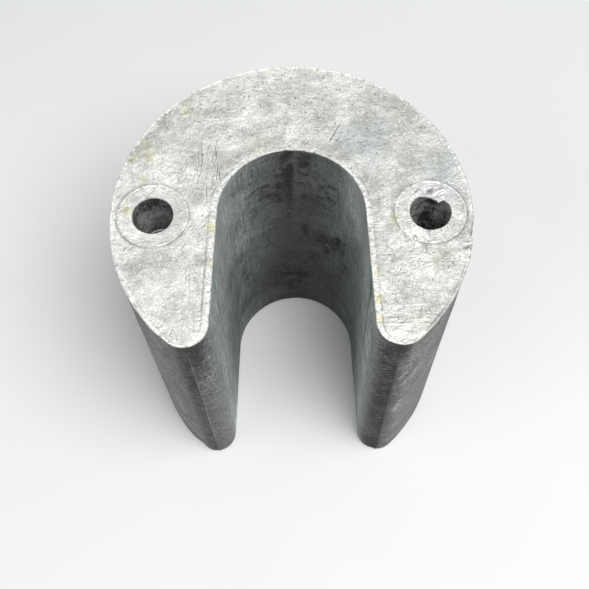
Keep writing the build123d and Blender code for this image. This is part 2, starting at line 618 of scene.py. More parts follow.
# Yellowish stains on the linished face: centre, radius and strength.
STAINS = [(-24.2, 27.5, 2, 0.5), (-35.5, 14.8, 2, 0.5), (-33.1, 9, 1.4, 0.4),
          (-31.9, 14.8, 1.8, 0.5), (-36.2, 1.1, 1.8, 0.7), (-17.3, -3.2, 1.6, 1),
          (-17.5, -11.5, 1.1, 0.6), (17.9, -21, 1.6, 0.9), (18.2, -25.6, 1.3, 0.8),
          (17.6, -14.7, 1, 0.5), (25, 26, 2.5, 0.15), (31.5, -11, 2.8, 0.12),
          (26, -26, 3.2, 0.15), (-6, 19, 4, 0.15), (22.8, -1.5, 1.6, 0.4),
          (-32.7, 18.3, 2, 0.3)]
# Dull patches on it, in the same way.
DULL = [(-35, 16, 3, 0.8), (29, -25, 3.2, 0.7), (32.5, -11, 3.6, 1),
        (-20, 4, 2.6, 0.8), (-6, 17.5, 3, 0.5), (-30, 24, 3.2, 0.7),
        (-26, -25, 2.6, 0.4), (-35, -7.5, 1.6, 0.5), (-15, 27, 3, 0.7),
        (20, -13, 3, 0.7), (-14.5, 12.5, 3.4, 0.6), (27, 28, 3.6, 0.7),
        (-24, 31, 3, 0.6), (22.5, -3, 2.4, 0.6), (10, 28, 4, 0.5),
        (24, 18, 5, 0.5), (33, 14, 3, 0.5), (-20.5, -5, 2, 0.5),
        (30, 22, 2.6, 0.8), (17, 24, 3, 0.7), (-26, 21, 3, 0.7),
        (-33, 20, 2.4, 0.6), (-21, 14, 2.6, 0.6), (26, 12, 3, 0.6)]


def patch_mask(xy, patches, seed):
    """Ragged patches, each given by its centre, radius and strength."""
    mask = np.zeros(len(xy))
    ragged = 1 + 0.6 * layered_noise(flat_points(xy), 1.8, seed, 2)
    for x, y, radius, strength in patches:
        away = np.hypot(xy[:, 0] - x, xy[:, 1] - y) / radius
        mask = np.maximum(mask, strength * (1 - smooth(0.2, 1.2, away * ragged)))
    return unit(mask)


def cool_mask(xy):
    """Bluish grey patches, the largest behind the slot's end on the right."""
    near = 1 - smooth(0.3, 1.2, np.hypot((xy[:, 0] - 16) / 8, (xy[:, 1] - 19) / 5))
    wide = 1 - smooth(0.4, 1.3, np.hypot((xy[:, 0] - 24) / 16, (xy[:, 1] - 12) / 18))
    return unit(0.8 * near + 0.6 * wide + 0.5 * noise(flat_points(xy), 6.0, 52) - 0.12)


TOP_STEPS, BOTTOM_STEPS, SEAT_STEPS = 800, 420, 128  # points of each ring


def staggered(count, row):
    """count places along the outline, half a step further on in every other row."""
    return np.arange(count) * OUTLINE / count + (row % 2 == 0) * OUTLINE / count / 2


def flat_face(surface, outline_ring, hole_rings, spacing, relief, level, upward, inset_rows,
              marks=()):
    """Fills a flat face between its outline and the two sleeve seats, and adds its relief.

    inset_rows are how far in the rows of points that follow its edges lie.
    """
    rings = [outline_ring, *hole_rings]
    border = [np.concatenate(surface.points)[ring, :2] for ring in rings]
    inner = []
    for row, depth in enumerate(inset_rows):
        point, normal = outline_at(staggered(len(outline_ring), row))
        inner.append(point - normal * depth)
    for row, extra in enumerate(inset_rows[:2]):
        for side in (-1, 1):
            ring = circle(SEAT_STEPS, 0.5 * (row % 2 == 0)) * (SEAT_R + extra)
            inner.append(ring + [side * SLEEVE_X, 0])
    grid = hex_lattice((-OUTER_R, -OUTER_R), (OUTER_R, OUTER_R), spacing)
    reach, _ = from_sleeve(grid)
    gap = 0.4 * spacing
    clear_of_seats = reach > SEAT_R + inset_rows[1] + gap
    inner.append(grid[inside_section(grid, inset_rows[-1] + gap) & clear_of_seats])
    if marks:
        line_s = np.arange(0, OUTLINE, 0.45)  # points along the rim's inner line
        point, normal = outline_at(line_s)
        band, _ = rim_band(line_s)
        rim_line = [point - normal * (band * RIM_LINE + offset)[:, None]
                    for offset in (-0.2, 0, 0.2)]
        needed = np.concatenate([mark.points() for mark in marks] + rim_line)
        reach, _ = from_sleeve(needed)
        inner.append(needed[inside_section(needed, 0.5) & (reach > SEAT_R + 0.4)])
    inner = np.concatenate(inner)
    height, masks = relief(inner)
    numbers = surface.add(columns(inner, level + height), **masks)

    flat = np.concatenate(border + [inner])
    index = np.concatenate(rings + [numbers])
    loops, start = [], 0
    for ring in border:
        loops.append(list(range(start, start + len(ring))))
        start += len(ring)
    triangles = triangulate(flat, loops)
    reach, _ = from_sleeve(flat[triangles].mean(1))
    triangles = index[triangles[reach > SEAT_R]]
    surface.join(triangles if upward else triangles[:, ::-1])


# ---------------------------------------------------------------- the as-cast walls

BOTTOM_ARC = BOTTOM_ROUND * math.pi / 2
TOP_ARC = TOP_ROUND * math.pi / 2
STRAIGHT = HEIGHT - BOTTOM_ROUND - TOP_ROUND
WALL_HEIGHT = BOTTOM_ARC + STRAIGHT + TOP_ARC
SKIN_DEPTH = 0.24  # the as-cast skin lies this far inside, to leave room for its parting lines


def wall_profile(v):
    """Inset from the outline, height and upward lean of the wall, at v up it from its foot."""
    low = np.clip(v, 0, BOTTOM_ARC) / BOTTOM_ROUND
    high = np.clip(v - BOTTOM_ARC - STRAIGHT, 0, TOP_ARC) / TOP_ROUND
    middle = np.clip(v - BOTTOM_ARC, 0, STRAIGHT)
    inset = BOTTOM_ROUND * (1 - np.sin(low)) + TOP_ROUND * (1 - np.cos(high))
    z = BOTTOM_ROUND * (1 - np.cos(low)) + middle + TOP_ROUND * np.sin(high)
    lean = np.sin(high) - np.cos(low)
    return inset, z, lean


# Marks on the walls. Each row is a stretch of wall and its marks: the stretch's middle along
# the outline, its half width, its lowest height, and how many marks of which kind.
SIDE_TOP = HEIGHT - 1.5
wall_marks = []
for place, reach, low, count, make in (
        (LEFT_LINE - 1.6, 1.8, 30, 60, random_scratch(-35, -10, 2.6, 0.75, 0.09, 0, 0.12)),
        (RIGHT_LINE - 3, 3, 10, 70, random_scratch(15, 60, 2, 0.6, 0.08, 0, 0.15)),
        (LEFT_LINE + 3, 3.2, 56, 150, random_pit(0.42, 0.12)),
        (LEFT_LINE + 3, 3.2, 56, 40, random_pit(0.16, -0.02)),
        (RIGHT_LINE - 2, 3, 40, 80, random_pit(0.42, 0.10)),
        (LEFT_TIP + 14, 5, 34, 30, random_scratch(84, 96, 9, 0.3, 0.06, 0, 0.1)),
        (RIGHT_TIP - 14, 5, 34, 30, random_scratch(84, 96, 9, 0.3, 0.06, 0, 0.1)),
        (SLOT_BACK, 18, 36, 140, random_pit(0.6, 0.12)),
        (SLOT_BACK, SLOT_BACK - 4, 2, 300, random_pit(0.36, 0.12)),
        (SLOT_BACK, SLOT_BACK - 4, 2, 90, random_scratch(0, 180, 4, 0.2, 0.05, 0, 0.15))):
    wall_marks += scattered(count, (place - reach, low), (place + reach, SIDE_TOP), make)

# bright scuffs beside the right leg's tip
for along, up, length in (
        (6.2, 59.5, 2), (5.7, 57, 1.4), (3.2, 56.5, 2), (2.2, 63, 1.6), (1.4, 61.5, 1.2),
        (3.2, 43, 1.6), (2.7, 40, 2.4), (2.5, 36.5, 2.6), (1.9, 38.5, 1.4)):
    reach = np.array((0.18, 0.32)) * length
    middle = np.array((RIGHT_TIP + along, up))
    wall_marks.append(Scratch(middle - reach, middle + reach, 0.5, 0.05, 0, 1, 0.5))

# long dark draw lines down the slot's two walls, near its mouth
for along, top, low, width in (
        (41.1, 80.5, 65, 3.2), (41.4, 63, 44, 2.2), (44.6, 70, 58, 1),
        (-39.6, 78, 61, 1.2), (-40.4, 63, 50, 1.3), (-43.6, 71, 60, 0.8)):
    place = SLOT_BACK + along
    wall_marks.append(Scratch((place, top), (place - 0.2, low), width, 0.08, 0.3, 0, 0.1))

# knocks and scrapes on the rest of the round outside, left of the back and then right of it
for start, end in ((4, OUTER_LENGTH - 16), (OUTLINE - OUTER_LENGTH + 9, OUTLINE - 4)):
    for count, make in ((9, random_scratch(20, 160, 9, 0.75, 0.07, 0.4, 0.1)),
                        (9, random_scratch(20, 160, 3, 0.9, 0.10, 0.6, 0.1)),
                        (10, random_pit(1.1, 0.25))):
        wall_marks += scattered(count, (start, 8), (end, SIDE_TOP), make)

# Dark blotches on the slot's round end: along the outline from its middle, height above
# the bottom face, half width, half height and strength.
BLOTCHES_AND_SHADOW = [(-1.6, 77, 2.2, 7, 0.9), (2.6, 76, 3, 6, 0.85), (-4.5, 64, 7, 12, 0.65),
            (-8, 66, 7, 8, 0.5), (6.5, 66, 8, 10, 0.5), (-15, 74, 4, 4, 0.4),
            # the first blotch on this line, low in the middle of the end, is a painted shadow at
            # its foot
            (-0.6, 16, 6, 13, 1), (9.5, 41, 5, 5, 0.5), (6, 28, 5, 7, 0.35)]
# Dark streaks there: their two ends in the same way, bow, half width and strength.
STREAKS = [((-1, 82), (-0.7, 64), 0, 2, 0.9), ((-0.8, 70), (-0.4, 53), 0, 1.3, 1),
           ((3, 47), (4.8, 39.5), 0.7, 1.2, 0.7), ((7.9, 44), (7.2, 39), 0.3, 1.1, 0.8),
           ((4.8, 39.5), (9.2, 39.5), 0.4, 1.4, 0.6), ((13.2, 48), (12.4, 41), 0.3, 1.6, 0.9),
           ((9, 40), (13.2, 41.5), 0.3, 2, 1), ((16.2, 50), (15, 41), 0.4, 1.6, 0.4),
           ((9.2, 40), (8.2, 31), -0.4, 1.5, 0.5), ((8.3, 34), (3, 25), 0.9, 1.6, 0.6),
           ((8, 31), (5.6, 24), 0.6, 1.4, 0.5), ((15.6, 37), (12.6, 24), -1, 2, 0.6),
           ((-15.6, 45), (-14.6, 31), 0.5, 1.5, 0.5), ((-14.6, 33), (-12.6, 22), 0.5, 2, 0.4)]


def blotch_and_shadow_mask(along, z, ragged):
    """Dark blotches, one a painted shadow, and streaks, with ragged edges. ragged is noise about
    0.
    """
    mask = np.zeros(len(z))
    for place, height, half_width, half_height, strength in BLOTCHES_AND_SHADOW:
        away = np.hypot((along - place) / half_width, (z - height) / half_height)
        mask = np.maximum(mask, strength * (1 - smooth(0.1, 1.3, away + 0.7 * ragged)))
    for start, end, bow, half_width, strength in STREAKS:
        across, up = end[0] - start[0], end[1] - start[1]
        length = math.hypot(across, up)
        share = ((along - start[0]) * across + (z - start[1]) * up) / length**2
        aside = ((along - start[0]) * up - (z - start[1]) * across) / length
        share_on = unit(share)
        off_line = aside - bow * 4 * share_on * (1 - share_on)
        away = np.hypot(off_line, (share - share_on) * length) / half_width
        mask = np.maximum(mask, strength * (1 - smooth(0.0, 1.4, away + 0.8 * ragged)))
    return mask


def wall_grime_and_shade(p, to_left, to_right, to_end, in_slot, blotch, end_fade):
    """Grime by the legs' parting lines and round their heads, the slot's dark spots, painted
    shadow.
    """
    z = p[:, 2]
    broken = unit(0.8 + 0.7 * noise(p, 1.1, 75))
    left = smooth(-4.0, -1.2, to_left + blotch) * (1 - smooth(-0.4, 0.4, to_left))
    left = 0.95 * left * (0.5 + 0.5 * smooth(22, 60, z + 8 * blotch)) * broken
    left_head = bump(to_left, 0.8, 5.5) * smooth(54, 78, z + 10 * blotch)
    right = smooth(-6.0, -1.0, to_right + blotch) * (1 - smooth(-0.3, 0.8, to_right)) * broken
    right_head = 0.8 * (bump(to_right, 0.0, 5.0) * smooth(66, 79, z + 6 * blotch))
    spots_and_shadow = in_slot * blotch_and_shadow_mask(to_end, z, layered_noise(p, 3.2, 72, 3))
    beside_line = smooth(0.3, 0.8, to_end) * (1 - smooth(0.8, 1.8, to_end)) * end_fade
    spots_and_shadow *= (1 - 0.7 * beside_line) * np.clip(0.75 + 0.8 * noise(p, 1.5, 77), 0.2, 1)
    return np.maximum.reduce([left, left_head, right, right_head, spots_and_shadow])


def wall_shade_and_bands(z, to_left, to_right, to_end, in_slot):
    """Painted shade on the slot's walls, and a dark band beside each leg's parting line.

    The shade lies thick on the slot's round end, thinner towards its mouth, and it deepens
    towards the bottom.
    """
    end_share = 1 - smooth(5, 18, np.abs(to_end - 2 - 3 * smooth(60, 40, z)))
    end = np.interp(z, (15, 45, 74), (1.0, 0.84, 0.66))
    side = np.interp(z, (15, 30, 45, 60), (0.86, 0.7, 0.43, 0.03))
    side = side * smooth(52, 30, np.abs(to_end))
    left = np.interp(to_left, (-9, -5.3, -3.8, -2.3, -0.8, 0.7, 2.2, 4),
                     (0.1, 0.30, 0.56, 0.72, 0.64, 0.55, 0.32, 0))
    right = np.interp(to_right, (-7, -5.6, -4.1, -2.6, -1.1, 0.4, 1.9, 3.4),
                      (0, 0.2, 0.76, 0.92, 0.95, 0.76, 0.42, 0))
    slot = in_slot * (end_share * end + (1 - end_share) * side)
    return np.maximum.reduce([slot, left, right])


def wall_relief(s, v, p):
    """How far the wall stands out along its normal, and its masks. p are the points in space."""
    z = p[:, 2]
    to_left, to_right = away_from(s, LEFT_LINE), away_from(s, RIGHT_LINE)
    to_back, to_end = away_from(s, 0), away_from(s, SLOT_BACK)
    along = np.where(s <= SLOT_BACK, s, OUTLINE - s)
    in_slot = smooth(OUTER_LENGTH + 7, OUTER_LENGTH + 14, along)
    rubbed = smooth(OUTER_LENGTH + 8.5, OUTER_LENGTH + 17, along)
    flat = columns(s, v * 0, v)

    out = -SKIN_DEPTH + 0.07 * layered_noise(p, 22, 61, 2)
    out += 0.035 * noise(p, 4.0, 63)
    out += 0.02 * noise(p, 1.3, 64)
    streak = noise(flat, (0.9, 1, 26), 65) + 0.6 * noise(flat, (0.45, 1, 14), 66)
    out += 0.022 * streak * (0.25 + 0.75 * in_slot)

    # parting lines: a low ragged fin at each leg's tip, at the slot's end and down the back
    up = columns(v * 0, v * 0, v)
    slow, fine = noise(up, 2.2, 67), noise(up, 0.6, 68)
    back_line = to_back + 0.1 * slow
    fin = np.clip(0.75 + 0.35 * slow + 0.25 * fine, 0.15, 1.2)
    top_fade = 1 - smooth(HEIGHT - 1.2, HEIGHT, z)
    end_fade = smooth(HEIGHT - 38, HEIGHT - 24, z)
    for away, size in ((to_left, 0.12), (to_right, 0.14), (back_line, 0.17)):
        out += size * fin * bump(away, 0, 0.42) * top_fade
    out += 0.10 * fin * bump(to_end + 0.2 * slow, 0.3, 0.45) * end_fade
    step_right = 0.16 * (1 - smooth(-0.25, 0.15, to_right)) * smooth(-5, -0.5, to_right)
    step_left = 0.06 * (1 - smooth(-0.25, 0.15, to_left)) * smooth(-4, -0.5, to_left)
    step_end = 0.08 * (1 - smooth(-0.2, 0.2, to_end)) * smooth(-4, -0.5, to_end) * end_fade
    out -= step_right + step_left + step_end

    # where the left leg's outside runs straight into its tip
    out -= 0.45 * bump(to_left, -5.3, 4.0)

    dirt, shine = np.zeros(len(s)), np.zeros(len(s))
    sv = columns(s, v)
    for mark in wall_marks:
        mark.apply(sv, out, dirt, shine)
    # painted highlights along the left leg's parting line and the back's; painted shade on the
    # right line's step and on one side of the back's fin
    left_line_highlight = 0.32 * bump(to_left, 0, 0.22) * fin * smooth(4, 20, z)
    left_line_highlight *= smooth(HEIGHT, HEIGHT - 16, z)
    shine = np.maximum.reduce([shine, left_line_highlight, 0.28 * bump(back_line, 0, 0.3) * fin])
    dirt = np.maximum.reduce([dirt, 0.8 * bump(to_right, -0.1, 0.4) * fin,
                              0.6 * bump(back_line, 0.45, 0.35) * fin])

    blotch = layered_noise(p, 7, 71, 3)
    grime = wall_grime_and_shade(p, to_left, to_right, to_end, in_slot, blotch, end_fade)
    # painted shade in the slot and dark bands beside the parting lines; on the top face this mask
    # holds dull patches
    wash = wall_shade_and_bands(z, to_left, to_right, to_end, in_slot) + 0.12 * blotch
    # a painted sheen on the slot's two walls near the top, stronger on the right wall
    upper_wall_sheen = smooth(58, 76, z + 5 * blotch)  # the slot's two walls, near the top
    upper_wall_sheen = upper_wall_sheen * smooth(12, 20, np.abs(to_end)) * smooth(40, 30, np.abs(to_end))
    shine = np.maximum(shine, in_slot * upper_wall_sheen * np.where(to_end < 0, 0.3, 0.9))

    # the skin is pebbled beside the legs' parting lines and smooth in the slot
    beside_tips = np.maximum(bump(to_left, 1.0, 10), bump(to_right, -1.0, 9))
    pebbled = unit((0.45 + 0.55 * beside_tips) * (1 - 0.75 * in_slot * (1 - beside_tips)))
    pebbled *= 0.5 + 0.5 * smooth(40, 58, z + 6 * blotch)

    masks = {
        "ground": smooth(HEIGHT - 0.32, HEIGHT - 0.1, z + 0.1 * noise(p, 0.7, 74)),
        # the top edge's near-white rim tone is a polished edge with a painted highlight on it
        "rim": 0.8 * smooth(HEIGHT - 0.5, HEIGHT - 0.05, z + 0.12 * noise(p, 0.8, 73)),
        "dirt": unit(dirt),
        "shine": unit(shine),
        "grime": unit(grime),
        "drag": rubbed * (1 - 0.9 * bump(to_end, 0, 24)),
        "cool": unit(0.5 + 0.8 * blotch) * (0.4 + 0.6 * in_slot),
        "wash": unit(wash),
        "pebbled": pebbled,
    }
    return out, masks


def place_wall(s, v):
    """Wall points in space with their relief, and the masks."""
    point, normal = outline_at(s)
    inset, z, lean = wall_profile(v)
    base = columns(point - normal * inset[:, None], z)
    out, masks = wall_relief(s, v, base)
    flatness = np.sqrt(unit(1 - lean**2))
    near_top = smooth(HEIGHT - 3.0, HEIGHT - 0.3, z)
    out = out * (1 - 0.5 * near_top)
    base[:, :2] += normal * (out * flatness)[:, None]
    base[:, 2] += out * np.clip(lean, -1, 0)
    into, down = notch_depth(s)
    depth_below = np.clip(HEIGHT - z, 0, None)
    cut = into * unit(1 - depth_below / down)
    base[:, :2] -= normal * np.maximum(cut - inset, 0)[:, None]
    base[:, 2] -= (depth_below < 0.3) * np.clip(into - 0.13, 0, None) * 0.1
    masks["shine"] = np.maximum(masks["shine"], 0.7 * smooth(0.1, 0.4, cut))
    return base, masks


def cast_wall(surface):
    """The whole wall round the outline. Returns its top ring and its bottom ring."""
    def wants_fine(p):
        near_tip = np.minimum(np.abs(p[:, 0] - LEFT_LINE), np.abs(p[:, 0] - RIGHT_LINE)) < 5.0
        near_end = np.abs(p[:, 0] - SLOT_BACK) < 4.0
        near_back = np.abs(away_from(p[:, 0], 0)) < 1.0
        return near_tip | near_end | near_back | (p[:, 1] > WALL_HEIGHT - 2.4)

    def wants_broad(p):
        return (np.abs(away_from(p[:, 0], 0)) < OUTER_LENGTH - 12) & ~wants_fine(p)

    def level_row(count, row, v):
        return columns(staggered(count, row), np.full(count, v))

    broad, coarse, fine = (hex_lattice((0, 0), (OUTLINE, WALL_HEIGHT), spacing)
                           for spacing in (1.45, 0.88, 0.5))
    inner = [broad[wants_broad(broad)],
             coarse[~wants_broad(coarse) & ~wants_fine(coarse)],
             fine[wants_fine(fine)]]
    for row, drop in enumerate((0.12, 0.24, 0.42)):
        inner.append(level_row(TOP_STEPS, row, WALL_HEIGHT - drop))
    for row, rise in enumerate((0.4, 0.8, 1.2)):
        inner.append(level_row(BOTTOM_STEPS, row, rise))
    up_line = np.arange(0.6, WALL_HEIGHT - 0.6, 0.35)
    for place in (LEFT_LINE, RIGHT_LINE, SLOT_BACK + 0.3):
        for offset in (-0.3, -0.12, 0.0, 0.12, 0.3):
            inner.append(columns(np.full(len(up_line), place + offset), up_line))
    inner = np.concatenate(inner + [mark.points() for mark in wall_marks])
    low, high = (0.15, 0.3), (OUTLINE - 0.15, WALL_HEIGHT - 0.1)
    inner = inner[np.all((inner > low) & (inner < high), axis=1)]

    # the wall is laid out flat, and its far side is then joined to its near side
    side_v = np.concatenate([np.arange(0.5, WALL_HEIGHT - 3, 0.7),
                             np.arange(WALL_HEIGHT - 2.8, WALL_HEIGHT - 0.2, 0.3)])
    side = columns(np.zeros(len(side_v)), side_v)
    own = np.concatenate([level_row(TOP_STEPS, 1, WALL_HEIGHT), level_row(BOTTOM_STEPS, 1, 0),
                          side, inner])
    placed, masks = place_wall(own[:, 0], own[:, 1])
    numbers = surface.add(placed, **masks)
    top_ring, bottom_ring, side_numbers, _ = np.split(
        numbers, np.cumsum([TOP_STEPS, BOTTOM_STEPS, len(side)]))
    flat = np.concatenate([own, side + [OUTLINE, 0], [(OUTLINE, WALL_HEIGHT), (OUTLINE, 0)]])
    index = np.concatenate([numbers, side_numbers, [top_ring[0], bottom_ring[0]]])
    surface.join(index[triangulate(flat)])
    return top_ring, bottom_ring


def round_axis(side, radius, steps):
    """A flat ring of points round a sleeve's axis. radius may vary round it."""
    x, y = circle(steps).T
    return columns(side * SLEEVE_X + radius * x, radius * y)


def add_ring(surface, side, radius, z, steps, **masks):
    ring = columns(round_axis(side, radius, steps), np.broadcast_to(z, steps))
    return surface.add(ring, **masks)


def bottom_relief(xy):
    """The as-cast bottom face: nearly flat, with shallow shrinkage hollows, never below z = 0."""
    p = flat_points(xy)
    height = 0.10 + 0.05 * layered_noise(p, 12, 81, 3) + 0.3 * unit(noise(p, 9, 84) - 0.35)
    inset, _ = nearest_outline(xy)
    height *= smooth(0.0, 3.0, inset)
    grime = unit(0.3 + 0.7 * layered_noise(p, 6, 85, 3))
    return height, {"grime": 0.6 * grime, "cool": unit(noise(p, 9, 86))}


def make_body(material):
    """The casting: its wall, the seats of the two sleeves, and its top and bottom faces."""
    surface = Surface()
    top_ring, bottom_ring = cast_wall(surface)
    top_holes, bottom_holes = [], []
    for side in (-1, 1):
        lip = round_axis(side, SEAT_R, SEAT_STEPS)
        level, masks = top_face_relief(lip)
        drop = 0.02 + 0.10 * unit(noise(flat_points(lip), 3.0, 91) + 0.2)
        rings = [add_ring(surface, side, SEAT_R, TOP_LEVEL + level - drop, SEAT_STEPS, **masks)]
        for z in (HEIGHT - 1.2, HEIGHT / 2, 1.0, 0.05):
            rings.append(add_ring(surface, side, SEAT_R, z, SEAT_STEPS, grime=1.0))
        for upper, lower in zip(rings, rings[1:]):
            surface.strip(upper, lower)
        top_holes.append(rings[0])
        bottom_holes.append(rings[-1])
    flat_face(surface, top_ring, top_holes, 0.5, top_face_relief, TOP_LEVEL, True,
              (0.16, 0.34, 0.6), top_marks)
    flat_face(surface, bottom_ring, bottom_holes, 1.1, bottom_relief, 0.0, False, (0.7, 1.4))
    return surface.make("cast_body", material)


# ---------------------------------------------------------------- the sleeves

SLEEVE_GAP = 0.015  # between a sleeve and its seat, which hides it
SLEEVE_STEPS = 216

# Casting flash hangs over the back of the right bore: its edge's distance from the bore's
# axis, at angles in degrees anticlockwise from +X. The tongue is at 51 degrees.
FLASH_ANGLES = (22, 34, 44, 47, 51, 58, 70, 82, 94, 108, 122, 136)
FLASH_RADII = (4.62, 4.3, 4.1, 3.5, 2.85, 3.2, 3.2, 3.5, 3.7, 4.0, 4.45, 4.62)
FLASH_THICKNESS = 0.3


def bore_edge(side):
    """Radius of the top edge of a sleeve's bore, all round."""
    angle = np.arange(SLEEVE_STEPS) * 360 / SLEEVE_STEPS
    around = 4.5 * columns(circle(SLEEVE_STEPS), np.full(SLEEVE_STEPS, side))
    edge = BORE_R + 0.12 + 0.05 * noise(around, 1.1, 101)
    if side > 0:
        edge += 0.12 * unit(noise(around, 0.5, 104))
        torn = np.interp(angle, FLASH_ANGLES, FLASH_RADII) + 0.12 * noise(around, 0.4, 102)
        in_torn = (angle > FLASH_ANGLES[0]) & (angle < FLASH_ANGLES[-1])
        edge = np.where(in_torn, np.minimum(torn, BORE_R + 0.3), edge)
    return edge


def bore_burr(surface, side):
    """A thin sliver of metal lifted off the front of the bore, its ends tapering into the wall."""
    steps = 40
    share = np.linspace(0, 1, steps)
    angle = np.radians(-98 + 54 * share)
    lifted = np.sin(math.pi * share)
    middle = BORE_R + 0.06 - 0.62 * lifted**0.8
    corners = []
    for offset, drop in ((0.055, 0.34), (-0.055, 0.38), (-0.055, 0.75), (0.055, 0.75)):
        radius = middle + offset * (0.3 + lifted)
        xy = columns(side * SLEEVE_X + radius * np.cos(angle), radius * np.sin(angle))
        z = np.full(steps, HEIGHT - drop - 0.12 * (1 - lifted))
        # the sliver is painted near white, a painted highlight
        corners.append(surface.add(columns(xy, z), ground=1.0, rim=1.0, shine=0.8))
    for one, other in zip(corners, corners[1:] + corners[:1]):
        surface.join(columns(one[:-1], one[1:], other[1:]))
        surface.join(columns(one[:-1], other[1:], other[:-1]))
    a, b, c, d = (corner[0] for corner in corners)
    surface.join([(a, b, c), (a, c, d)])
    a, b, c, d = (corner[-1] for corner in corners)
    surface.join([(c, b, a), (d, c, a)])


def make_sleeve(name, side, material):
    """A thick steel tube: its outside, its linished end, its bore and its plain bottom end."""
    surface, rings = Surface(), []

    def ring(radius, z, **masks):
        rings.append(add_ring(surface, side, radius, z, SLEEVE_STEPS, **masks))

    angle = np.degrees(np.arange(SLEEVE_STEPS) * math.tau / SLEEVE_STEPS)
    outside = SEAT_R - SLEEVE_GAP
    edge = bore_edge(side)
    flash = unit((BORE_R + 0.05 - edge) / 0.3)

    for z in (0.4, HEIGHT / 2, HEIGHT - 1.0):
        ring(outside, z, grime=1.0)
    # the linished end, from its outside edge to the bore's
    for share in (0.0, 0.06, *np.linspace(0.13, 1, 22)):
        radius = outside + (edge - outside) * share
        height, masks = top_face_relief(round_axis(side, radius, SLEEVE_STEPS))
        # the bore's edge is painted bright, a painted highlight, strongest on the flash
        lip = smooth(0.93, 1.0, share)
        masks["shine"] = unit(masks["shine"] + lip * (0.25 + 0.6 * flash))
        drop = 0.05 * (1 - smooth(0.0, 0.06, share)) + 0.04 * lip
        lip_z = TOP_LEVEL + height - drop
        ring(radius, lip_z, **masks)
    # a painted shadow in the gap behind the left bore's burr, where the bore's top is also left
    # dull
    burr_shadow = (side < 0) * bump(angle, 288, 32)
    bright = 1 - burr_shadow
    ring(edge - 0.06, lip_z - 0.16, ground=1.0, rim=0.8, shine=0.5 * bright)
    under = lip_z - 0.3 - FLASH_THICKNESS * flash
    ring(np.minimum(edge, BORE_R), under, ground=bright * (1 - flash),
         rim=0.3 * bright * (1 - flash), grime=0.3, dirt=burr_shadow)
    ring(BORE_R, under - 0.1, grime=0.5, dirt=burr_shadow)
    # the bore, finely as far down as the photo sees
    for depth in (*np.linspace(1.5, 24, 44), HEIGHT / 2, HEIGHT - 12, HEIGHT - 1):
        z = HEIGHT - depth
        points = columns(circle(SLEEVE_STEPS) * BORE_R, np.full(SLEEVE_STEPS, z))
        worn = layered_noise(points, (2.4, 2.4, 1.6), 103 + side, 3)
        spark = unit(6 * noise(points, 0.6, 105) - 4.6)
        shade = unit(0.1 + 0.6 * worn + 0.6 * smooth(9, 1.5, HEIGHT - z))
        if side > 0:
            shade = unit(0.2 + 0.8 * worn + 0.6 * bump(angle, 75 - z + HEIGHT, 45))
        ring(BORE_R + 0.03 * worn - 0.03, z, grime=shade, shine=spark, drag=0.4)
    # the bottom end
    ring(BORE_R + 0.4, 0.05, grime=0.5)
    ring(BORE_R + 1.4, 0.08, grime=0.4)
    ring(SEAT_R - 1.4, 0.08, grime=0.4)
    ring(outside - 0.35, 0.05, grime=0.5)
    rings.append(rings[0])
    for lower, upper in zip(rings, rings[1:]):
        surface.strip(lower, upper)
    if side < 0:
        bore_burr(surface, side)
    return surface.make(name, material)


# ---------------------------------------------------------------- materials

